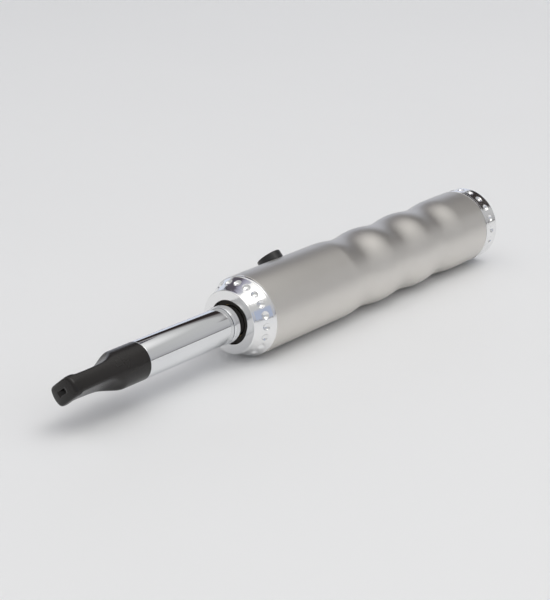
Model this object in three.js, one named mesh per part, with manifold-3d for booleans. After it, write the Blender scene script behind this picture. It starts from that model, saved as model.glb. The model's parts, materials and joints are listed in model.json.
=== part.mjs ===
// A tube-style personal vaporiser (electronic cigarette), lying on its side. Millimetres, +Z up.
// +X runs along the tube, from the mouthpiece's tip to the rear cap's flat end.
import * as THREE from "three";
import { mergeVertices } from "three/addons/utils/BufferGeometryUtils.js";
import Module from "manifold-3d";

const wasm = await Module();
wasm.setup();

// Driving dimensions. Stations along the tube are counted from the tube's front edge.
const SIDES = 48;
const TUBE_RADIUS = 10.5;
const TUBE_BORE = 8.75;
const TUBE_LENGTH = 96.75;
const GROOVE_START = 33.75;
const GROOVE_PITCH = 17.5;
const GROOVE_COUNT = 3;
const GROOVE_DEPTH = 0.74;
const GROOVE_STEPS = 6;

const CAP_FACE = -6.34;
const CAP_FACE_RADIUS = 8.23;
const CAP_BORE = 5.8;
const CAP_SEAM = 0.1;
const SPIGOT_RADIUS = 8.4;
const SPIGOT_LENGTH = 7;
const O_RING_WIRE = 0.5;
const O_RING_RADIUS = 8.1;
const O_RING_GROOVE = 7.5;
const REAR_FACE = 102.55;
const REAR_FACE_RADIUS = 10.33;
const REAR_SPIGOT_LENGTH = 3;
const REAR_RECESS_RADIUS = 6.5;
const REAR_RECESS_FLOOR = 99;

const DIMPLE_COUNT = 20;
const DIMPLE_BALL = 1.2;
const DIMPLE_LIFT = 0.65;
const FRONT_DIMPLE_STATION = -3;
const FRONT_DIMPLE_SURFACE = 9.36;
const FRONT_DIMPLE_LEAN = 0.25;
const REAR_DIMPLE_STATION = 99.7;
const REAR_DIMPLE_SURFACE = 10.4;
const REAR_DIMPLE_TURN = THREE.MathUtils.degToRad(-3.5);

const ATOMISER_RADIUS = 4.75;
const ATOMISER_BORE = 4.35;
const ATOMISER_FRONT = -39.9;
const BASE_FRONT = -9.7;
const BASE_REAR = -7.65;
const BASE_RADIUS = 4.95;
const COLLAR_END = -4.5;
const THREAD_RADIUS = 3.45;
const THREAD_END = -0.5;

const TIP = -64.3;
const MOUTH_SHOULDER = -40;
const MOUTH_SPIGOT_END = -33.2;
const MOUTH_SPIGOT_RADIUS = 4.25;
const MOUTH_TURN = THREE.MathUtils.degToRad(51);
const RESERVOIR_RADIUS = 3.6;
const RESERVOIR_FRONT = -49;
const SLOT_WIDTH = 2.4;
const SLOT_HEIGHT = 1.2;

const BUTTON_STATION = 19.24;
const BUTTON_TURN = THREE.MathUtils.degToRad(48.6 - 90);
const BUTTON_RADIUS = 3.4;
const BUTTON_TOP = 12.25;
const BUTTON_HOLE = 3.6;

const CELL_FRONT = 26.3;
const CELL_REAR = 92.5;
const CELL_RADIUS = 8.2;

const AXIS_HEIGHT = TUBE_RADIUS * Math.cos(Math.PI / SIDES);
const MIDDLE = (TIP + REAR_FACE) / 2;

const steel = { color: 0xa8a39b, metalness: 1, roughness: 0.42 };
const aluminium = { color: 0xd4d6d8, metalness: 1, roughness: 0.25 };
const chrome = { color: 0xdadde0, metalness: 1, roughness: 0.08 };
const brass = { color: 0xc9a14a, metalness: 1, roughness: 0.3 };
const blackPlastic = { color: 0x121213, metalness: 0, roughness: 0.4 };
const whitePlastic = { color: 0xe6e4dc, metalness: 0, roughness: 0.5 };
const rubber = { color: 0x1c1c1c, metalness: 0, roughness: 0.8 };
const ceramic = { color: 0xf0ece2, metalness: 0, roughness: 0.6 };
const boardGreen = { color: 0x1f5a36, metalness: 0, roughness: 0.5 };
const wrapBlue = { color: 0x2b5f9e, metalness: 0, roughness: 0.45 };
const fibre = { color: 0xf3f1ea, metalness: 0, roughness: 0.95 };

const root = new THREE.Group();
const assembly = new THREE.Group();
assembly.position.set(-MIDDLE, 0, AXIS_HEIGHT);
root.add(assembly);

// The button, switch and board share a frame whose +Z points out through the button.
const switchFrame = new THREE.Group();
switchFrame.position.x = BUTTON_STATION;
switchFrame.rotation.x = BUTTON_TURN;
assembly.add(switchFrame);

function add(name, geometry, look, parent = assembly) {
  const mesh = new THREE.Mesh(geometry, new THREE.MeshStandardMaterial(look));
  mesh.name = name;
  parent.add(mesh);
  return mesh;
}

function solidOf(geometry) {
  const bare = geometry.index ? geometry.toNonIndexed() : geometry.clone();
  bare.deleteAttribute("normal");
  bare.deleteAttribute("uv");
  const merged = mergeVertices(bare, 1e-4);
  return new wasm.Manifold(
    new wasm.Mesh({
      numProp: 3,
      vertProperties: merged.attributes.position.array,
      triVerts: new Uint32Array(merged.index.array),
    }),
  );
}

function geometryOf(solid) {
  const mesh = solid.getMesh();
  const geometry = new THREE.BufferGeometry();
  geometry.setAttribute("position", new THREE.BufferAttribute(mesh.vertProperties, 3));
  geometry.setIndex(new THREE.BufferAttribute(mesh.triVerts, 1));
  return geometry;
}

function cut(geometry, tools) {
  let solid = solidOf(geometry);
  for (const tool of tools) {
    solid = solid.subtract(solidOf(tool));
  }
  return geometryOf(solid);
}

// A solid turned about the X axis from [station, radius] pairs, given from low to high station.
function turned(pairs, sides = SIDES) {
  const points = pairs.map(([station, radius]) => new THREE.Vector2(radius, station));
  const geometry = new THREE.LatheGeometry(points, sides, Math.PI / sides);
  return geometry.rotateZ(-Math.PI / 2);
}

function rod(start, end, radius, sides = SIDES) {
  return turned([[start, 0], [start, radius], [end, radius], [end, 0]], sides);
}

// A hollow turned piece: the outside and the inside both run from low to high station.
function sleeve(outside, inside, sides = SIDES) {
  return turned([...outside, ...inside.toReversed(), outside[0]], sides);
}

function pipe(start, end, outer, inner, sides = SIDES) {
  return sleeve([[start, outer], [end, outer]], [[start, inner], [end, inner]], sides);
}

// A piece turned about the local Z axis from [height, radius] pairs.
function turnedUp(pairs, sides) {
  const points = pairs.map(([height, radius]) => new THREE.Vector2(radius, height));
  return new THREE.LatheGeometry(points, sides).rotateX(Math.PI / 2);
}

function box(centre, size) {
  return new THREE.BoxGeometry(...size).translate(...centre);
}

function oRing(station) {
  const ring = new THREE.TorusGeometry(O_RING_RADIUS, O_RING_WIRE, 8, 32);
  return ring.rotateY(Math.PI / 2).translate(station, 0, 0);
}

// The balls that cut a ring of round dents, the first of them turned from the top of the ring.
function dimpleBalls(station, surface, lean, turn) {
  const balls = [];
  const reach = surface + DIMPLE_LIFT * Math.cos(lean);
  for (let i = 0; i < DIMPLE_COUNT; i += 1) {
    const ball = new THREE.IcosahedronGeometry(DIMPLE_BALL, 1);
    ball.translate(station - DIMPLE_LIFT * Math.sin(lean), 0, reach);
    ball.rotateX((2 * Math.PI * i) / DIMPLE_COUNT + turn);
    balls.push(ball);
  }
  return balls;
}

// A round wire of the given radius along a path.
function wire(path, radius, steps, corners) {
  const section = new THREE.Shape();
  for (let i = 0; i < corners; i += 1) {
    const angle = (2 * Math.PI * i) / corners;
    const place = i === 0 ? "moveTo" : "lineTo";
    section[place](radius * Math.cos(angle), radius * Math.sin(angle));
  }
  return new THREE.ExtrudeGeometry(section, { steps, bevelEnabled: false, extrudePath: path });
}

class Helix extends THREE.Curve {
  constructor(start, end, radiusStart, radiusEnd, turns) {
    super();
    this.start = start;
    this.end = end;
    this.radiusStart = radiusStart;
    this.radiusEnd = radiusEnd;
    this.turns = turns;
  }

  getPoint(t) {
    const radius = this.radiusStart + (this.radiusEnd - this.radiusStart) * t;
    const angle = 2 * Math.PI * this.turns * t;
    const along = this.start + (this.end - this.start) * t;
    return new THREE.Vector3(along, radius * Math.cos(angle), radius * Math.sin(angle));
  }
}

// Battery tube: straight at both ends, with three shallow finger grooves between.
function grooveRadius(station) {
  const phase = (2 * Math.PI * (station - GROOVE_START)) / GROOVE_PITCH;
  return TUBE_RADIUS - (GROOVE_DEPTH / 2) * (1 - Math.cos(phase));
}
const tubeOutside = [[0, TUBE_RADIUS]];
for (let i = 0; i <= GROOVE_COUNT * GROOVE_STEPS; i += 1) {
  const station = GROOVE_START + (GROOVE_PITCH * i) / GROOVE_STEPS;
  tubeOutside.push([station, grooveRadius(station)]);
}
tubeOutside.push([TUBE_LENGTH, TUBE_RADIUS]);
const buttonHole = new THREE.CylinderGeometry(BUTTON_HOLE, BUTTON_HOLE, 8, 32);
buttonHole.rotateX(Math.PI / 2).translate(0, 0, 10);
buttonHole.rotateX(BUTTON_TURN).translate(BUTTON_STATION, 0, 0);
const tubeWall = sleeve(tubeOutside, [[0, TUBE_BORE], [TUBE_LENGTH, TUBE_BORE]]);
add("battery_tube", cut(tubeWall, [buttonHole]), steel);

// Front cap: a hollow flared band over a spigot that screws into the tube, with a ring of dimples.
const frontCap = sleeve(
  [
    [CAP_FACE, CAP_FACE_RADIUS],
    [-5.6, 8.42],
    [-4.4, 8.8],
    [-3.2, 9.28],
    [-2, 9.78],
    [-0.9, 10.25],
    [-0.6, 10.48],
    [-CAP_SEAM, TUBE_RADIUS],
    [-CAP_SEAM, SPIGOT_RADIUS],
    [0.6, SPIGOT_RADIUS],
    [0.6, O_RING_GROOVE],
    [1.8, O_RING_GROOVE],
    [1.8, SPIGOT_RADIUS],
    [SPIGOT_LENGTH, SPIGOT_RADIUS],
  ],
  [[CAP_FACE, CAP_BORE], [SPIGOT_LENGTH, CAP_BORE]],
);
const frontDimples = dimpleBalls(FRONT_DIMPLE_STATION, FRONT_DIMPLE_SURFACE, FRONT_DIMPLE_LEAN, 0);
add("front_cap", cut(frontCap, frontDimples), aluminium);
add("front_o_ring", oRing(1.2), rubber);

// Rear cap: a plain flat end with the same dimples, over a short spigot with a spring recess.
const rearShoulder = TUBE_LENGTH + CAP_SEAM;
const rearSpigot = rearShoulder - REAR_SPIGOT_LENGTH;
const rearCap = turned([
  [REAR_RECESS_FLOOR, 0],
  [REAR_RECESS_FLOOR, REAR_RECESS_RADIUS],
  [rearSpigot, REAR_RECESS_RADIUS],
  [rearSpigot, SPIGOT_RADIUS],
  [rearShoulder - 1.8, SPIGOT_RADIUS],
  [rearShoulder - 1.8, O_RING_GROOVE],
  [rearShoulder - 0.6, O_RING_GROOVE],
  [rearShoulder - 0.6, SPIGOT_RADIUS],
  [rearShoulder, SPIGOT_RADIUS],
  [rearShoulder, TUBE_RADIUS],
  [REAR_FACE - 0.35, REAR_FACE_RADIUS],
  [REAR_FACE, REAR_FACE_RADIUS - 0.35],
  [REAR_FACE, 0],
]);
const rearDimples = dimpleBalls(REAR_DIMPLE_STATION, REAR_DIMPLE_SURFACE, 0, REAR_DIMPLE_TURN);
add("rear_cap", cut(rearCap, rearDimples), aluminium);
add("rear_o_ring", oRing(rearShoulder - 1.2), rubber);

// Connector inside the front cap: a black ring, an insulating cup, a threaded socket and a centre contact.
const linerOutside = [[-4.45, 5.7], [5, 5.7]];
const linerInside = [[-4.45, 5.3], [4, 5.3], [4, 1.25], [5, 1.25]];
add("connector_liner", sleeve(linerOutside, linerInside), blackPlastic);
add("connector_ring", pipe(-5.35, -4.55, 5.7, 4.35), rubber);
add("connector_socket", pipe(-4.4, 3.4, 5.2, 3.55, 36), brass);
add("connector_insulator", pipe(0.3, 3.2, 3.4, 1.2, 24), whitePlastic);
add("connector_pin", rod(0.1, 6.4, 1.1, 24), brass);

// Atomiser: a threaded base, a slim tube, and the heater in a ceramic cup inside it.
const baseOutside = [
  [-12.5, 4.25],
  [BASE_FRONT, 4.25],
  [BASE_FRONT, BASE_RADIUS - 0.15],
  [BASE_FRONT + 0.15, BASE_RADIUS],
  [BASE_REAR - 0.25, BASE_RADIUS],
  [BASE_REAR, BASE_RADIUS - 0.25],
  [BASE_REAR, 4.2],
  [COLLAR_END, 4.2],
  [COLLAR_END, THREAD_RADIUS],
  [THREAD_END, THREAD_RADIUS],
];
add("atomiser_base", sleeve(baseOutside, [[-12.5, 1.7], [THREAD_END, 1.7]]), chrome);
add("atomiser_tube", pipe(ATOMISER_FRONT, BASE_FRONT - 0.1, ATOMISER_RADIUS, ATOMISER_BORE), chrome);
add("atomiser_insulator", pipe(-12.4, THREAD_END - 0.1, 1.6, 1.1, 24), whitePlastic);
add("atomiser_pin", rod(-13.2, 0, 1, 24), brass);
const cupOutside = [[-22, 4.2], [-13.6, 4.2]];
const cupInside = [[-22, 3.4], [-14.6, 3.4], [-14.6, 0.6], [-13.6, 0.6]];
add("ceramic_cup", sleeve(cupOutside, cupInside, 32), ceramic);
const heater = new THREE.Group();
heater.position.x = -18.6;
heater.rotation.z = Math.PI / 2;
assembly.add(heater);
add("heating_coil", wire(new Helix(-1.9, 1.9, 1.3, 1.3, 5), 0.16, 50, 5), chrome, heater);
add("wick", rod(-2.9, 2.9, 1, 16), fibre, heater);

// Mouthpiece: a round stem that two scoops thin down to a flat beak with a raised lip.
const MOUTH_SECTIONS = [
  [TIP, 3.6, 1.85],
  [TIP + 0.12, 3.9, 2.2],
  [TIP + 0.4, 4.14, 2.5],
  [TIP + 0.9, 4.22, 2.64],
  [TIP + 2.1, 4.27, 2.62],
  [TIP + 2.6, 4.3, 2.34],
  [TIP + 4, 4.36, 2.24],
  [TIP + 6, 4.44, 2.2],
  [TIP + 8.5, 4.54, 2.22],
  [TIP + 10.3, 4.6, 2.28],
  [TIP + 11.8, 4.65, 2.42],
  [TIP + 13, 4.68, 2.72],
  [TIP + 14, 4.7, 3.14],
  [TIP + 14.9, 4.72, 3.62],
  [TIP + 15.7, 4.74, 4.2],
  [TIP + 16.4, 4.75, 4.9],
  [TIP + 17.2, 4.75, 6],
  [MOUTH_SHOULDER, 4.75, 9],
  [MOUTH_SHOULDER, MOUTH_SPIGOT_RADIUS, 9],
  [MOUTH_SPIGOT_END, MOUTH_SPIGOT_RADIUS, 9],
];
const SCOOP_SHARPNESS = 12;
const TIP_SWEEP = 0.35;
const TIP_SWEEP_LENGTH = 3;
const TIP_HALF_WIDTH = 4.2;

// A section is a circle of radius `wide` cut off at plus and minus `thin`, with eased corners.
// Near the tip its two sides are swept back from the middle.
function beakRing(station, wide, thin) {
  const ring = [];
  for (let i = 0; i < SIDES; i += 1) {
    const angle = (2 * Math.PI * (i + 0.5)) / SIDES;
    const round = Math.pow(1 / wide, SCOOP_SHARPNESS);
    const flat = Math.pow(Math.abs(Math.sin(angle)) / thin, SCOOP_SHARPNESS);
    const reach = Math.pow(round + flat, -1 / SCOOP_SHARPNESS);
    const across = reach * Math.cos(angle);
    const fade = Math.max(0, 1 - (station - TIP) / TIP_SWEEP_LENGTH);
    const swept = station + TIP_SWEEP * fade * (across / TIP_HALF_WIDTH) ** 2;
    ring.push([swept, across, reach * Math.sin(angle)]);
  }
  return ring;
}

// A closed skin through rings of equal point counts, capped at both ends.
function loft(rings) {
  const positions = [];
  const indices = [];
  const count = rings[0].length;
  rings.forEach((ring) => ring.forEach((point) => positions.push(...point)));
  for (let r = 0; r + 1 < rings.length; r += 1) {
    for (let i = 0; i < count; i += 1) {
      const a = r * count + i;
      const b = r * count + ((i + 1) % count);
      indices.push(a, b, a + count, b, b + count, a + count);
    }
  }
  const first = positions.length / 3;
  positions.push(rings[0][0][0], 0, 0, rings.at(-1)[0][0], 0, 0);
  const last = (rings.length - 1) * count;
  for (let i = 0; i < count; i += 1) {
    const next = (i + 1) % count;
    indices.push(first, next, i);
    indices.push(first + 1, last + i, last + next);
  }
  const geometry = new THREE.BufferGeometry();
  geometry.setAttribute("position", new THREE.Float32BufferAttribute(positions, 3));
  geometry.setIndex(indices);
  return geometry;
}

const mouthFrame = new THREE.Group();
mouthFrame.rotation.x = MOUTH_TURN - Math.PI / 2;
assembly.add(mouthFrame);
const beak = loft(MOUTH_SECTIONS.map(([station, wide, thin]) => beakRing(station, wide, thin)));
const reservoir = rod(RESERVOIR_FRONT, MOUTH_SPIGOT_END + 1, RESERVOIR_RADIUS, 32);
const slotLength = RESERVOIR_FRONT - TIP + 2;
const slot = box([TIP - 1 + slotLength / 2, 0, 0], [slotLength, SLOT_WIDTH, SLOT_HEIGHT]);
add("mouthpiece", cut(beak, [reservoir, slot]), blackPlastic, mouthFrame);
add("cartridge_cup", pipe(-48.6, MOUTH_SPIGOT_END - 0.1, 3.45, 3.05, 32), whitePlastic);
add("cartridge_filler", pipe(-48.3, MOUTH_SPIGOT_END - 0.4, 2.9, 0.9, 24), fibre);

// Fire button: a round cap with an inner flange, over a tactile switch on the board.
const buttonProfile = [
  [7, 0],
  [7, 3.95],
  [7.6, 3.95],
  [7.6, BUTTON_RADIUS],
  [BUTTON_TOP - 0.45, BUTTON_RADIUS],
  [BUTTON_TOP - 0.2, BUTTON_RADIUS - 0.08],
  [BUTTON_TOP - 0.06, BUTTON_RADIUS - 0.22],
  [BUTTON_TOP, BUTTON_RADIUS - 0.45],
  [BUTTON_TOP, 0],
];
add("fire_button", turnedUp(buttonProfile, 32), blackPlastic, switchFrame);
const plungerHole = turnedUp([[4.4, 0], [4.4, 1.85], [7, 1.85], [7, 0]], 24);
add("switch_body", cut(box([0, 0, 4], [6, 6, 3.4]), [plungerHole]), blackPlastic, switchFrame);
add("switch_plunger", turnedUp([[5.5, 0], [5.5, 1.7], [6.9, 1.7], [6.9, 0]], 24), brass, switchFrame);
add("circuit_board", box([-2.3, 0, 1.6], [14.6, 13, 1.2]), boardGreen, switchFrame);
add("controller_chip", box([-6.6, 0, 2.85], [4, 5, 1.1]), blackPlastic, switchFrame);
const carrierTool = box([-3, 0, 10.9], [30, 30, 20]);
const carrierBar = rod(-11, 4.8, 8.3, 36);
add("board_carrier", cut(carrierBar, [carrierTool]), whitePlastic, switchFrame);

// Power path: a front contact, one long cell in its sleeve, and the tail contact with its spring.
add("front_contact", rod(24.5, 25.1, 4, 24), brass);
add("cell_terminal", rod(25.3, CELL_FRONT - 0.1, 3, 24), chrome);
add("battery_cell", rod(CELL_FRONT, CELL_REAR, CELL_RADIUS, 36), chrome);
add("cell_sleeve", pipe(CELL_FRONT + 0.2, CELL_REAR - 0.2, 8.5, 8.3, 36), wrapBlue);
add("tail_spring", wire(new Helix(93.1, 98.1, 3.4, 4.8, 4), 0.35, 64, 6), chrome);
add("tail_contact", rod(98.55, REAR_RECESS_FLOOR - 0.1, 6.2, 32), brass);

export default root;
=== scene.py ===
"""Looks for the tube-style personal vaporiser.

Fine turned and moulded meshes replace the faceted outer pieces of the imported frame, in a soft photo studio.
"""

import json
import math

import bmesh
import bpy
from mathutils import Matrix, Vector


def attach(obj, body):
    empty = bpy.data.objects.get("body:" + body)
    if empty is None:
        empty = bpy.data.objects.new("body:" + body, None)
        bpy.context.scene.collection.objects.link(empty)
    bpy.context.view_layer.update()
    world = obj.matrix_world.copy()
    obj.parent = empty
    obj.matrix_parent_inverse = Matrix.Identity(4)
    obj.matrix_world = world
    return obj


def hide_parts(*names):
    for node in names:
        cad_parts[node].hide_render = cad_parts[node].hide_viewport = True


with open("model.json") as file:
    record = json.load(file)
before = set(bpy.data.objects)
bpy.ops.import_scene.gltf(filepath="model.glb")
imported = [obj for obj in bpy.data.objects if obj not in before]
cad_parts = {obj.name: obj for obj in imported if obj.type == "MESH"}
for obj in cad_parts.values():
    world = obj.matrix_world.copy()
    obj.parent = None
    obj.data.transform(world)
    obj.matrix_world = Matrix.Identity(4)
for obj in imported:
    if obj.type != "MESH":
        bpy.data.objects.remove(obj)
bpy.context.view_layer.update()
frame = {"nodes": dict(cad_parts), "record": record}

# Sizes are in millimetres, in the tube's own frame: the axis is at the middle, and stations along it are
# counted from the tube's front edge, so the atomiser and the mouthpiece have negative stations.
MM = 0.001
CAD_SIDES = 48
# The CAD's tube and caps rest on one of their flat sides. Their radii are drawn in by this share, so that the
# round ones here stay inside the flat sides.
SHRINK = math.cos(math.pi / CAD_SIDES)

TUBE_RADIUS = 10.5
TUBE_BORE = 8.75
TUBE_LENGTH = 96.75
TUBE_EDGE = 0.12
GROOVE_START = 33.75
GROOVE_PITCH = 17.5
GROOVE_COUNT = 3
GROOVE_DEPTH = 0.74
HOLE_ZONE_START = 13
HOLE_ZONE_END = 25.6

CAP_FACE = -6.34
CAP_BORE = 5.8
CAP_INNER_END = 7
SEAM = 0.1
SPIGOT = 8.4
O_RING_GROOVE = 7.5
O_RING_NEAR_SIDE = 0.6
O_RING_FAR_SIDE = 1.8
REAR_FACE = 102.55
REAR_SPIGOT_LENGTH = 3
REAR_HOLLOW = 6.5
REAR_HOLLOW_END = 99

DIMPLES = 20
DIMPLE_BALL = 1.2
DIMPLE_LIFT = 0.65
DIMPLE_ZONE = 2
SKIN_DEPTH = 1.2
FRONT_DIMPLE_STATION = -3
FRONT_DIMPLE_SURFACE = 9.36
FRONT_DIMPLE_LEAN = 0.25
REAR_DIMPLE_STATION = 99.7
REAR_DIMPLE_SURFACE = 10.4
REAR_DIMPLE_TURN = math.radians(3.5)

TIP = -64.3
BEAK_TURN = math.radians(51 - 90)
STEM_RADIUS = 4.75
TIP_SWEEP = 0.35
TIP_SWEEP_LENGTH = 3
TIP_HALF_WIDTH = 4.2
BEAK_SHARPNESS = 14
SLOT_CORNER_Y = 0.9
SLOT_CORNER_Z = 0.3
SLOT_CORNER_RADIUS = 0.3
SLOT_END = -48
RESERVOIR_RADIUS = 3.6
RESERVOIR_START = -49
PAST_THE_STEM = -32

BUTTON_TURN = math.radians(48.6 - 90)
BUTTON_STATION = 19.24
BUTTON_RADIUS = 3.37
BUTTON_TOP = 12.21
BUTTON_FLANGE = 3.95
BUTTON_FOOT = 7
BUTTON_FLANGE_TOP = 7.6
BUTTON_HOLE = 3.6
HOLE_TOOL_HEIGHTS = (6.5, 14)

MIDDLE = (TIP + REAR_FACE) / 2
AXIS_HEIGHT = TUBE_RADIUS * SHRINK

TUBE_SIDES = 288
CAP_SIDES = 480
ATOMISER_SIDES = 192
BEAK_SIDES = 192
BUTTON_SIDES = 128
HOLE_SIDES = 96
CAP_STEP = 0.09


# ---------------------------------------------------------------- meshes
def place(point, turn=0.0, station=0.0):
    """A point of the tube's frame, turned about the axis, in the metres of the shared frame."""
    x, y, z = point
    c = math.cos(turn)
    s = math.sin(turn)
    return (
        (x + station - MIDDLE) * MM,
        (y * c - z * s) * MM,
        (y * s + z * c + AXIS_HEIGHT) * MM,
    )


def make_object(name, vertices, faces, sharp_degrees=32):
    """A smooth object whose edges stay sharp where its faces meet at more than the given angle."""
    mesh = bpy.data.meshes.new(name)
    mesh.from_pydata(vertices, [], faces)
    mesh.validate()
    shape = bmesh.new()
    shape.from_mesh(mesh)
    bmesh.ops.remove_doubles(shape, verts=shape.verts, dist=1e-7)
    bmesh.ops.recalc_face_normals(shape, faces=shape.faces)
    for edge in shape.edges:
        if len(edge.link_faces) == 2 and edge.calc_face_angle() > math.radians(sharp_degrees):
            edge.smooth = False
    for face in shape.faces:
        face.smooth = True
    shape.to_mesh(mesh)
    shape.free()
    made = bpy.data.objects.new(name, mesh)
    bpy.context.scene.collection.objects.link(made)
    return made


def skin(rows, sides, closed=False):
    """The faces between rings of points. An open row of rings gets a face at each end."""
    faces = []
    for r in range(rows if closed else rows - 1):
        near = r * sides
        far = (r + 1) % rows * sides
        for i in range(sides):
            j = (i + 1) % sides
            faces.append((near + i, near + j, far + j, far + i))
    if not closed:
        faces.append(tuple(range(sides)))
        faces.append(tuple((rows - 1) * sides + i for i in range(sides)))
    return faces


def lathe(name, profile, sides, shape_point=None, closed=True):
    """Turns [station, radius] pairs about the tube's axis."""
    vertices = []
    for station, radius in profile:
        for i in range(sides):
            angle = math.tau * (i + 0.5) / sides
            point = (station, radius * math.cos(angle), radius * math.sin(angle))
            if shape_point:
                point = shape_point(point)
            vertices.append(place(point))
    return make_object(name, vertices, skin(len(profile), sides, closed))


def circle(radius, sides):
    turns = [math.tau * i / sides for i in range(sides)]
    return [(radius * math.cos(a), radius * math.sin(a)) for a in turns]


def prism(section, start, end):
    """A closed prism along the mouthpiece from a [y, z] outline."""
    vertices = [place((x, y, z), BEAK_TURN) for x in (start, end) for y, z in section]
    return vertices, skin(2, len(section))


def drill(target, vertices, faces, name):
    """Cuts a hole in the target with a closed tool, then removes the tool and any sliver it left."""
    tool = make_object(name, vertices, faces)
    modifier = target.modifiers.new(name, "BOOLEAN")
    modifier.operation = "DIFFERENCE"
    modifier.solver = "EXACT"
    modifier.object = tool
    bpy.context.view_layer.update()
    result = bpy.data.meshes.new_from_object(
        target.evaluated_get(bpy.context.evaluated_depsgraph_get())
    )
    target.modifiers.clear()
    target.data = result
    bpy.data.objects.remove(tool)
    shape = bmesh.new()
    shape.from_mesh(result)
    bmesh.ops.remove_doubles(shape, verts=shape.verts, dist=2e-6)
    bmesh.ops.dissolve_degenerate(shape, edges=shape.edges, dist=1e-6)
    shape.to_mesh(result)
    shape.free()


def span(start, end, steps):
    return [start + (end - start) * i / steps for i in range(steps + 1)]


def polyline(points, step):
    """The same [station, radius] line, with points no further apart than the step."""
    made = [points[0]]
    for (x0, r0), (x1, r1) in zip(points, points[1:]):
        parts = max(1, math.ceil(math.hypot(x1 - x0, r1 - r0) / step))
        for i in range(1, parts + 1):
            made.append((x0 + (x1 - x0) * i / parts, r0 + (r1 - r0) * i / parts))
    return made


def rounded(points, radius, steps=4):
    """The same line with each inner corner turned into a small arc."""
    made = [points[0]]
    for before, corner, after in zip(points, points[1:], points[2:]):
        to_before = Vector(before) - Vector(corner)
        to_after = Vector(after) - Vector(corner)
        reach = min(radius, to_before.length * 0.45, to_after.length * 0.45)
        start = Vector(corner) + to_before.normalized() * reach
        end = Vector(corner) + to_after.normalized() * reach
        for i in range(steps + 1):
            t = i / steps
            p = start * (1 - t) ** 2 + Vector(corner) * 2 * t * (1 - t) + end * t ** 2
            made.append((p.x, p.y))
    made.append(points[-1])
    return made


def drawn_in(profile):
    return [(station, radius * SHRINK) for station, radius in profile]


def dimpled(station, surface, lean, turn):
    """Pushes points into the ball of each dimple in a ring of them."""
    centre_station = station - DIMPLE_LIFT * math.sin(lean)
    centre_radius = surface + DIMPLE_LIFT * math.cos(lean)
    pitch = math.tau / DIMPLES

    def push(point):
        x, y, z = point
        if abs(x - station) > DIMPLE_ZONE:
            return point
        nearest = round((math.atan2(y, z) - turn) / pitch) * pitch + turn
        s = math.sin(nearest)
        c = math.cos(nearest)
        offset = Vector(point) - Vector((centre_station, centre_radius * s, centre_radius * c))
        if offset.length >= DIMPLE_BALL or math.hypot(y, z) < surface - SKIN_DEPTH:
            return point
        inward = Vector((math.sin(lean), -math.cos(lean) * s, -math.cos(lean) * c))
        depth = offset.dot(inward)
        side = (offset - inward * depth).length
        reach = math.sqrt(max(DIMPLE_BALL ** 2 - side ** 2, 0))
        return tuple(Vector(point) + inward * max(reach - depth, 0))

    return push


# ---------------------------------------------------------------- materials
# Places of the colour sockets in a Mix node.
MIX_FACTOR = 0
MIX_COLOUR_A = 6
MIX_COLOUR_B = 7
MIX_COLOUR_OUT = 2


def new_material(name):
    made = bpy.data.materials.new(name)
    made.use_nodes = True
    return made, made.node_tree.nodes, made.node_tree.links


def noise(nodes, links, scale, stretch=(1, 1, 1)):
    """Noise in the object's own coordinates. The stretch squeezes it along an axis."""
    where = nodes.new("ShaderNodeTexCoord")
    mapping = nodes.new("ShaderNodeMapping")
    mapping.inputs["Scale"].default_value = stretch
    texture = nodes.new("ShaderNodeTexNoise")
    texture.inputs["Scale"].default_value = scale
    texture.inputs["Detail"].default_value = 4
    links.new(where.outputs["Object"], mapping.inputs["Vector"])
    links.new(mapping.outputs["Vector"], texture.inputs["Vector"])
    return texture.outputs["Fac"]


def remap(nodes, links, value, low, high):
    """The middle half of the noise, spread from low to high."""
    made = nodes.new("ShaderNodeMapRange")
    made.inputs["From Min"].default_value = 0.25
    made.inputs["From Max"].default_value = 0.75
    made.inputs["To Min"].default_value = low
    made.inputs["To Max"].default_value = high
    links.new(value, made.inputs["Value"])
    return made.outputs["Result"]


def tinted(nodes, links, value, dark, light):
    """The dark colour where the value is 0, the light one where it is 1."""
    made = nodes.new("ShaderNodeMix")
    made.data_type = "RGBA"
    made.inputs[MIX_COLOUR_A].default_value = (*dark, 1)
    made.inputs[MIX_COLOUR_B].default_value = (*light, 1)
    links.new(value, made.inputs[MIX_FACTOR])
    return made.outputs[MIX_COLOUR_OUT]


def bumped(nodes, links, shader, value, strength, distance):
    bump = nodes.new("ShaderNodeBump")
    bump.inputs["Strength"].default_value = strength
    bump.inputs["Distance"].default_value = distance
    links.new(value, bump.inputs["Height"])
    links.new(bump.outputs["Normal"], shader.inputs["Normal"])


def metal(name, dark, light, rough, grain, stretch, bump=0.0, anisotropy=0.0):
    """Metal with a fine grain in its gloss and a broad change of colour, brushed round the axis if asked."""
    made, nodes, links = new_material(name)
    shader = nodes["Principled BSDF"]
    shader.inputs["Metallic"].default_value = 1
    fine = noise(nodes, links, grain, stretch)
    broad = noise(nodes, links, 60)
    links.new(tinted(nodes, links, broad, dark, light), shader.inputs["Base Color"])
    links.new(remap(nodes, links, fine, rough[0], rough[1]), shader.inputs["Roughness"])
    if anisotropy:
        shader.inputs["Anisotropic"].default_value = anisotropy
        tangent = nodes.new("ShaderNodeTangent")
        tangent.direction_type = "RADIAL"
        tangent.axis = "X"
        links.new(tangent.outputs["Tangent"], shader.inputs["Tangent"])
    if bump:
        bumped(nodes, links, shader, fine, bump, 2e-5)
    return made


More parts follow.
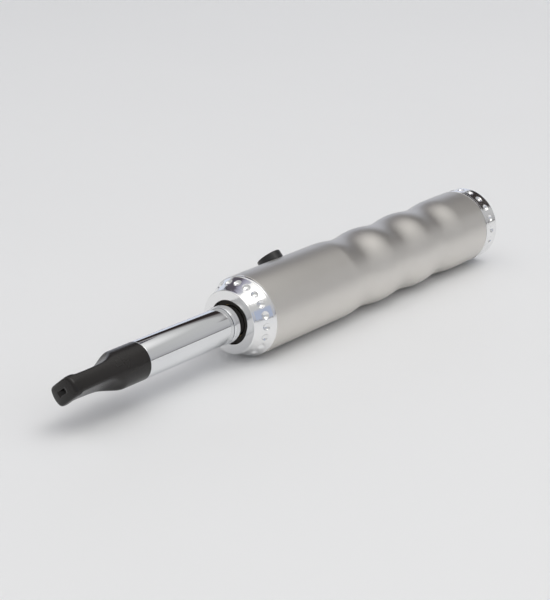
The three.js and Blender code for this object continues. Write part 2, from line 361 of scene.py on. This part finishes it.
def plastic(name, dark, light, rough, grain=900, bump=0.12, ior=1.5):
    """A dull material with a fine bump and a broad change of colour and gloss."""
    made, nodes, links = new_material(name)
    shader = nodes["Principled BSDF"]
    fine = noise(nodes, links, grain)
    broad = noise(nodes, links, 80)
    links.new(tinted(nodes, links, broad, dark, light), shader.inputs["Base Color"])
    links.new(remap(nodes, links, broad, rough[0], rough[1]), shader.inputs["Roughness"])
    shader.inputs["IOR"].default_value = ior
    bumped(nodes, links, shader, fine, bump, 3e-5)
    return made


ROUND_THE_TUBE = (14, 1, 1)
ALONG_THE_TUBE = (0.06, 1, 1)
EVERY_WAY = (1, 1, 1)
SLOT_MATERIAL = {
    "tube_steel": metal(
        "brushed_steel",
        (0.69, 0.668, 0.636),
        (0.79, 0.765, 0.73),
        (0.34, 0.44),
        900,
        ROUND_THE_TUBE,
        bump=0.25,
        anisotropy=0.55,
    ),
    "cap_aluminium": metal(
        "polished_aluminium",
        (0.87, 0.87, 0.872),
        (0.93, 0.93, 0.932),
        (0.1, 0.17),
        700,
        ROUND_THE_TUBE,
        bump=0.08,
        anisotropy=0.3,
    ),
    "chrome": metal("chrome", (0.76, 0.77, 0.785), (0.84, 0.85, 0.865), (0.03, 0.07), 500, ALONG_THE_TUBE),
    "brass": metal("brass", (0.62, 0.42, 0.14), (0.76, 0.56, 0.24), (0.2, 0.32), 600, ROUND_THE_TUBE),
    "spring_steel": metal("wire_steel", (0.55, 0.55, 0.56), (0.66, 0.66, 0.67), (0.22, 0.34), 700, EVERY_WAY),
    "black_plastic": plastic(
        "black_plastic", (0.0115, 0.01, 0.0093), (0.0172, 0.0152, 0.0142), (0.2, 0.28), ior=1.4
    ),
    "button_black": plastic("button_black", (0.012, 0.012, 0.013), (0.018, 0.018, 0.019), (0.28, 0.38)),
    "white_plastic": plastic("white_plastic", (0.68, 0.67, 0.64), (0.78, 0.77, 0.74), (0.4, 0.5)),
    "rubber": plastic("rubber", (0.024, 0.021, 0.018), (0.036, 0.031, 0.027), (0.7, 0.85), 1500, 0.3),
    "ceramic": plastic("ceramic", (0.74, 0.71, 0.64), (0.84, 0.81, 0.75), (0.55, 0.7), 1800, 0.3),
    "board": plastic("solder_mask", (0.012, 0.085, 0.035), (0.02, 0.12, 0.05), (0.3, 0.42)),
    "cell_wrap": plastic("shrink_sleeve", (0.02, 0.1, 0.28), (0.03, 0.14, 0.36), (0.25, 0.36)),
    "fibre": plastic("fibre", (0.75, 0.74, 0.7), (0.88, 0.87, 0.84), (0.9, 1), 2600, 0.8),
}
slot_of = {part["node"]: part["material_slot"] for part in frame["record"]["subparts"]}
for node, shown in frame["nodes"].items():
    shown.data.materials.clear()
    shown.data.materials.append(SLOT_MATERIAL[slot_of[node]])
    for face in shown.data.polygons:
        face.use_smooth = False


def dress(piece, node, body):
    """Puts a fine mesh in the place of a node, on the node's body and in its material."""
    piece.data.materials.append(SLOT_MATERIAL[slot_of[node]])
    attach(piece, body)
    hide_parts(node)


# ---------------------------------------------------------------- battery tube
def groove_radius(station):
    """The tube's radius: plain at both ends, with smooth waves for the finger grooves."""
    end = GROOVE_START + GROOVE_COUNT * GROOVE_PITCH
    if station <= GROOVE_START or station >= end:
        return TUBE_RADIUS
    phase = math.tau * (station - GROOVE_START) / GROOVE_PITCH
    return TUBE_RADIUS - GROOVE_DEPTH / 2 * (1 - math.cos(phase))


# The rings are closer together round the button's hole.
stations = span(TUBE_EDGE, HOLE_ZONE_START, 20)
stations += span(HOLE_ZONE_START + 0.2, HOLE_ZONE_END - 0.2, 48)
stations += span(HOLE_ZONE_END + 0.2, TUBE_LENGTH - TUBE_EDGE, 150)
tube_profile = [(0, TUBE_BORE), (0, TUBE_RADIUS - TUBE_EDGE)]
tube_profile += [(x, groove_radius(x)) for x in stations]
tube_profile += [(TUBE_LENGTH, TUBE_RADIUS - TUBE_EDGE), (TUBE_LENGTH, TUBE_BORE)]
tube = lathe("tube_shell", drawn_in(tube_profile), TUBE_SIDES)
dress(tube, "battery_tube", "battery")

hole_vertices = [
    place((along, across, height), BUTTON_TURN, BUTTON_STATION)
    for height in HOLE_TOOL_HEIGHTS
    for along, across in circle(BUTTON_HOLE, HOLE_SIDES)
]
drill(tube, hole_vertices, skin(2, HOLE_SIDES), "button_hole_tool")

# ---------------------------------------------------------------- end caps
flare = [(-5.6, 8.42), (-4.4, 8.8), (-3.2, 9.28), (-2.0, 9.78), (-0.9, 10.25)]
nose = [(CAP_FACE, CAP_BORE), (CAP_FACE, 8.2), (CAP_FACE + 0.35, 8.36)]
front_outside = rounded(nose + flare, 0.14)
front_outside += [(-0.78, 10.4), (-0.6, TUBE_RADIUS), (-0.16, TUBE_RADIUS), (-SEAM, 10.44)]
front_profile = polyline(front_outside, CAP_STEP) + [
    (-SEAM, SPIGOT),
    (O_RING_NEAR_SIDE, SPIGOT),
    (O_RING_NEAR_SIDE, O_RING_GROOVE),
    (O_RING_FAR_SIDE, O_RING_GROOVE),
    (O_RING_FAR_SIDE, SPIGOT),
    (CAP_INNER_END, SPIGOT),
    (CAP_INNER_END, CAP_BORE),
]
front_dimples = dimpled(FRONT_DIMPLE_STATION, FRONT_DIMPLE_SURFACE * SHRINK, FRONT_DIMPLE_LEAN, 0)
front_cap = lathe("front_cap_turned", drawn_in(front_profile), CAP_SIDES, front_dimples)
dress(front_cap, "front_cap", "battery")

shoulder = TUBE_LENGTH + SEAM
rear_outside = [
    (shoulder, 10.44),
    (shoulder + 0.06, TUBE_RADIUS),
    (shoulder + 0.7, TUBE_RADIUS),
    (shoulder + 0.85, 10.42),
    (REAR_FACE - 0.4, 10.33),
    (REAR_FACE - 0.1, 10.23),
    (REAR_FACE, 10.0),
]
rear_profile = [
    (REAR_HOLLOW_END, REAR_HOLLOW),
    (shoulder - REAR_SPIGOT_LENGTH, REAR_HOLLOW),
    (shoulder - REAR_SPIGOT_LENGTH, SPIGOT),
    (shoulder - O_RING_FAR_SIDE, SPIGOT),
    (shoulder - O_RING_FAR_SIDE, O_RING_GROOVE),
    (shoulder - O_RING_NEAR_SIDE, O_RING_GROOVE),
    (shoulder - O_RING_NEAR_SIDE, SPIGOT),
    (shoulder, SPIGOT),
]
rear_profile += polyline(rear_outside, CAP_STEP)
rear_dimples = dimpled(REAR_DIMPLE_STATION, REAR_DIMPLE_SURFACE * SHRINK, 0, REAR_DIMPLE_TURN)
rear_cap = lathe("rear_cap_turned", drawn_in(rear_profile), CAP_SIDES, rear_dimples, closed=False)
dress(rear_cap, "rear_cap", "rear_cap")

# ---------------------------------------------------------------- atomiser
tube_outer = rounded([(-39.9, 4.4), (-39.9, STEM_RADIUS), (-9.8, STEM_RADIUS), (-9.8, 4.4)], 0.13)
atomiser_tube = lathe("atomiser_tube_turned", tube_outer + [(-9.8, 4.35), (-39.9, 4.35)], ATOMISER_SIDES)
dress(atomiser_tube, "atomiser_tube", "atomiser")
base_outer = rounded(
    [
        (-12.5, 1.7),
        (-12.5, 4.25),
        (-9.7, 4.25),
        (-9.7, 4.95),
        (-7.65, 4.95),
        (-7.65, 4.2),
        (-4.5, 4.2),
        (-4.5, 3.45),
        (-0.5, 3.45),
        (-0.5, 1.7),
    ],
    0.12,
)
atomiser_base = lathe("atomiser_base_turned", base_outer, ATOMISER_SIDES)
dress(atomiser_base, "atomiser_base", "atomiser")

# ---------------------------------------------------------------- mouthpiece
# Distance from the tip, half the width, and half the thickness before the round stem takes over.
BEAK_KEYS = [
    (0, 0.05, 0.05),
    (0.001, 1.8, 0.92),
    (0.002, 3.55, 1.82),
    (0.05, 3.75, 2.02),
    (0.16, 3.95, 2.26),
    (0.36, 4.1, 2.46),
    (0.65, 4.18, 2.58),
    (1.1, 4.22, 2.64),
    (1.9, 4.26, 2.63),
    (2.2, 4.28, 2.56),
    (2.6, 4.3, 2.36),
    (3.1, 4.32, 2.28),
    (4, 4.36, 2.24),
    (6, 4.44, 2.2),
    (8.5, 4.54, 2.22),
    (10.3, 4.6, 2.28),
    (11.8, 4.65, 2.42),
    (13, 4.68, 2.72),
    (14, 4.7, 3.14),
    (14.9, 4.72, 3.62),
    (15.7, 4.74, 4.2),
    (16.4, STEM_RADIUS, 4.9),
    (17.2, STEM_RADIUS, 6),
    (24.3, STEM_RADIUS, 9),
]
# Station, radius and half thickness of the stem's end and of the plug that sits in the atomiser.
PLUG_ROWS = [(-40.06, STEM_RADIUS, 9), (-40.0, 4.7, 9), (-40.0, 4.25, 9), (-33.3, 4.25, 9), (-33.2, 4.15, 9)]


def eased_keys(keys, step):
    """Catmull-Rom points through the keys, so that the beak's curves are smooth."""
    made = []
    for i in range(len(keys) - 1):
        before = keys[max(i - 1, 0)]
        start = keys[i]
        end = keys[i + 1]
        after = keys[min(i + 2, len(keys) - 1)]
        gap = end[0] - start[0]
        parts = max(1, math.ceil(gap / step))
        for part in range(parts):
            t = part / parts
            row = [start[0] + gap * t]
            for axis in (1, 2):
                slope_a = (end[axis] - before[axis]) / max(end[0] - before[0], 1e-6)
                slope_b = (after[axis] - start[axis]) / max(after[0] - start[0], 1e-6)
                value = (2 * t ** 3 - 3 * t ** 2 + 1) * start[axis]
                value += (t ** 3 - 2 * t ** 2 + t) * gap * slope_a
                value += (3 * t ** 2 - 2 * t ** 3) * end[axis]
                value += (t ** 3 - t ** 2) * gap * slope_b
                row.append(value)
            made.append(tuple(row))
    made.append(keys[-1])
    return made


beak_rows = [(TIP + s, min(wide, STEM_RADIUS), thin) for s, wide, thin in eased_keys(BEAK_KEYS, 0.2)]
beak_rows += PLUG_ROWS
beak_vertices = []
for station, wide, thin in beak_rows:
    for i in range(BEAK_SIDES):
        a = math.tau * (i + 0.5) / BEAK_SIDES
        flat = (abs(math.sin(a)) * wide / thin) ** BEAK_SHARPNESS
        reach = wide * (1 + flat) ** (-1 / BEAK_SHARPNESS)
        across = reach * math.cos(a)
        fade = max(0, 1 - (station - TIP) / TIP_SWEEP_LENGTH)
        swept = station + TIP_SWEEP * fade * (across / TIP_HALF_WIDTH) ** 2
        beak_vertices.append(place((swept, across, reach * math.sin(a)), BEAK_TURN))
beak = make_object("mouthpiece_moulded", beak_vertices, skin(len(beak_rows), BEAK_SIDES), 40)
dress(beak, "mouthpiece", "mouthpiece")

slot_outline = []
for quarter, (y_side, z_side) in enumerate(((1, 1), (-1, 1), (-1, -1), (1, -1))):
    for i in range(7):
        a = math.radians(90 * quarter + 15 * i)
        slot_y = y_side * SLOT_CORNER_Y + SLOT_CORNER_RADIUS * math.cos(a)
        slot_z = z_side * SLOT_CORNER_Z + SLOT_CORNER_RADIUS * math.sin(a)
        slot_outline.append((slot_y, slot_z))
drill(beak, *prism(slot_outline, TIP - 1, SLOT_END), "slot_tool")
drill(beak, *prism(circle(RESERVOIR_RADIUS, HOLE_SIDES), RESERVOIR_START, PAST_THE_STEM), "reservoir_tool")

# ---------------------------------------------------------------- fire button
button_line = rounded(
    [
        (BUTTON_FOOT, 0),
        (BUTTON_FOOT, BUTTON_FLANGE),
        (BUTTON_FLANGE_TOP, BUTTON_FLANGE),
        (BUTTON_FLANGE_TOP, BUTTON_RADIUS),
        (BUTTON_TOP, BUTTON_RADIUS),
        (BUTTON_TOP, 0),
    ],
    0.45,
    8,
)
button_rows = button_line[1:-1]
button_vertices = [
    place((along, across, height), BUTTON_TURN, BUTTON_STATION)
    for height, radius in button_rows
    for along, across in circle(radius, BUTTON_SIDES)
]
button = make_object("fire_button_moulded", button_vertices, skin(len(button_rows), BUTTON_SIDES))
dress(button, "fire_button", "button")


# ---------------------------------------------------------------- studio
def floor_material():
    made, nodes, links = new_material("studio_paper")
    shader = nodes["Principled BSDF"]
    shader.inputs["Roughness"].default_value = 0.55
    cloud = noise(nodes, links, 6)
    colour = tinted(nodes, links, cloud, (0.805, 0.808, 0.812), (0.835, 0.838, 0.842))
    links.new(colour, shader.inputs["Base Color"])
    return made


def card(name, centre, size, facing, material):
    """A flat card of the studio, turned to face a point."""
    half_x = size[0] / 2
    half_y = size[1] / 2
    mesh = bpy.data.meshes.new(name)
    corners = [(-half_x, -half_y, 0), (half_x, -half_y, 0), (half_x, half_y, 0), (-half_x, half_y, 0)]
    mesh.from_pydata(corners, [], [(0, 1, 2, 3)])
    made = bpy.data.objects.new(name, mesh)
    bpy.context.scene.collection.objects.link(made)
    made.location = centre
    direction = Vector(facing) - Vector(centre)
    made.rotation_mode = "QUATERNION"
    made.rotation_quaternion = direction.to_track_quat("Z", "Y")
    made.data.materials.append(material)


def softbox(name, centre, size, watts, colour):
    """A rectangular lamp turned to the part."""
    lamp = bpy.data.lights.new(name, "AREA")
    lamp.shape = "RECTANGLE"
    lamp.size = size[0]
    lamp.size_y = size[1]
    lamp.energy = watts
    lamp.color = colour
    made = bpy.data.objects.new(name, lamp)
    bpy.context.scene.collection.objects.link(made)
    made.location = centre
    made.rotation_mode = "QUATERNION"
    made.rotation_quaternion = (-Vector(centre)).to_track_quat("-Z", "Y")
    return made


def glowing(name, axis, stops):
    """Light given off by a stage surface, its colour set by the place along one of the object's axes."""
    made, nodes, links = new_material(name)
    nodes.remove(nodes["Principled BSDF"])
    where = nodes.new("ShaderNodeTexCoord")
    split = nodes.new("ShaderNodeSeparateXYZ")
    ramp = nodes.new("ShaderNodeValToRGB")
    ramp.color_ramp.interpolation = "EASE"
    light = nodes.new("ShaderNodeEmission")
    links.new(where.outputs["Object"], split.inputs["Vector"])
    links.new(split.outputs[axis], ramp.inputs["Fac"])
    links.new(ramp.outputs["Color"], light.inputs["Color"])
    links.new(light.outputs["Emission"], nodes["Material Output"].inputs["Surface"])
    while len(ramp.color_ramp.elements) < len(stops):
        ramp.color_ramp.elements.new(0.5)
    for element, (position, colour) in zip(ramp.color_ramp.elements, stops):
        element.position = position
        element.color = (*colour, 1)
    return made


def round_the_part(azimuth, elevation, distance):
    """A place that lies this way from the part: azimuth from +X towards +Y, elevation above the floor."""
    a = math.radians(azimuth)
    e = math.radians(elevation)
    flat = distance * math.cos(e)
    return (flat * math.cos(a), flat * math.sin(a), distance * math.sin(e))


def dome(name, radius, material):
    """A ball round the studio. Above the floor, its own Z runs from 0 to 1."""
    bpy.ops.mesh.primitive_uv_sphere_add(segments=64, ring_count=32, radius=1)
    made = bpy.context.object
    made.name = name
    made.scale = (radius, radius, radius)
    made.data.materials.append(material)


PART = (0, 0, 0)
OVER_PART = (0, 0, 0.3)
AIR = [
    (0.0, (0.40, 0.40, 0.41)),
    (0.3, (0.53, 0.53, 0.535)),
    (0.66, (0.57, 0.57, 0.565)),
    (0.88, (1.1, 1.09, 1.07)),
]
ROOM = [
    (0.0, (0.03, 0.024, 0.024)),
    (0.14, (0.045, 0.036, 0.034)),
    (0.3, (0.3, 0.29, 0.29)),
    (0.45, (0.6, 0.6, 0.6)),
]
SKIRTING = [(0.0, (0.05, 0.045, 0.04)), (1.0, (0.05, 0.045, 0.04))]
BLUE_WALL = [(0.0, (0.72, 0.76, 0.86)), (1.0, (0.72, 0.76, 0.86))]
CORNER = [
    (0.0, (0.1, 0.09, 0.11)),
    (0.3, (0.3, 0.29, 0.36)),
    (0.6, (0.42, 0.42, 0.5)),
    (1.0, (0.5, 0.5, 0.56)),
]
NEAR_WALL = [(0.0, (0.42, 0.47, 0.6)), (1.0, (0.42, 0.47, 0.6))]

card("studio_floor", (0, 0, 0), (14, 14), (0, 0, 1), floor_material())
dome("studio_air", 6, glowing("studio_air", "Z", AIR))
# These cards are the room that the polished pieces mirror.
card("dark_wall", round_the_part(20, 32, 2.3), (3.6, 0.8), PART, glowing("dark_room", "Y", ROOM))
card("dark_skirting", (0.95, -0.95, 0.03), (2.6, 0.045), (0, 0, 0.03), glowing("skirting", "Y", SKIRTING))
card("blue_wall", round_the_part(40, 11, 2.5), (2.6, 0.85), OVER_PART, glowing("blue_wall", "Y", BLUE_WALL))
card("dim_corner", round_the_part(56, 51, 2.4), (1.5, 2.3), PART, glowing("dim_corner", "Y", CORNER))
card("near_wall", round_the_part(-84, 17, 2.7), (1.4, 1.3), OVER_PART, glowing("near_wall", "Y", NEAR_WALL))

world = bpy.data.worlds.new("studio_world")
bpy.context.scene.world = world
world.use_nodes = True
world.node_tree.nodes["Background"].inputs["Color"].default_value = (0.4, 0.4, 0.4, 1)

# The polished pieces mirror the side lamp only.
overhead = softbox("overhead_box", (0, 0.25, 1.6), (3.4, 3.0), 4.6, (0.96, 0.98, 1))
overhead.visible_glossy = False
softbox("side_box", round_the_part(-66, 68, 1.6), (0.8, 0.8), 3.2, (1, 0.99, 0.97))
fill = softbox("fill_box", round_the_part(-80, 50, 1.6), (2.4, 2.0), 6.0, (1, 0.995, 0.985))
fill.visible_glossy = False

# ---------------------------------------------------------------- camera
CAMERA_STATION = -316.5
CAMERA_SIDE = -262.2
CAMERA_HEIGHT = 149.75
CAMERA_AZIMUTH = math.radians(-51.409)
CAMERA_ELEVATION = math.radians(19.512)
FOCAL_PIXELS = 1742.5
FRAME_PIXELS = 600
SENSOR = 36

camera_data = bpy.data.cameras.new("camera")
camera_data.sensor_width = SENSOR
camera_data.lens = FOCAL_PIXELS * SENSOR / FRAME_PIXELS
camera_data.clip_start = 0.01
camera_data.clip_end = 50
camera = bpy.data.objects.new("camera", camera_data)
bpy.context.scene.collection.objects.link(camera)
bpy.context.scene.camera = camera
back = Vector(
    (
        math.sin(CAMERA_AZIMUTH) * math.cos(CAMERA_ELEVATION),
        -math.cos(CAMERA_AZIMUTH) * math.cos(CAMERA_ELEVATION),
        math.sin(CAMERA_ELEVATION),
    )
)
right = Vector((math.cos(CAMERA_AZIMUTH), math.sin(CAMERA_AZIMUTH), 0))
up = back.cross(right)
turn = Matrix((right, up, back)).transposed().to_4x4()
camera_place = Vector(place((CAMERA_STATION, CAMERA_SIDE, CAMERA_HEIGHT)))
camera.matrix_world = Matrix.Translation(camera_place) @ turn

bpy.context.scene.view_settings.view_transform = "Standard"
bpy.context.scene.view_settings.look = "None"
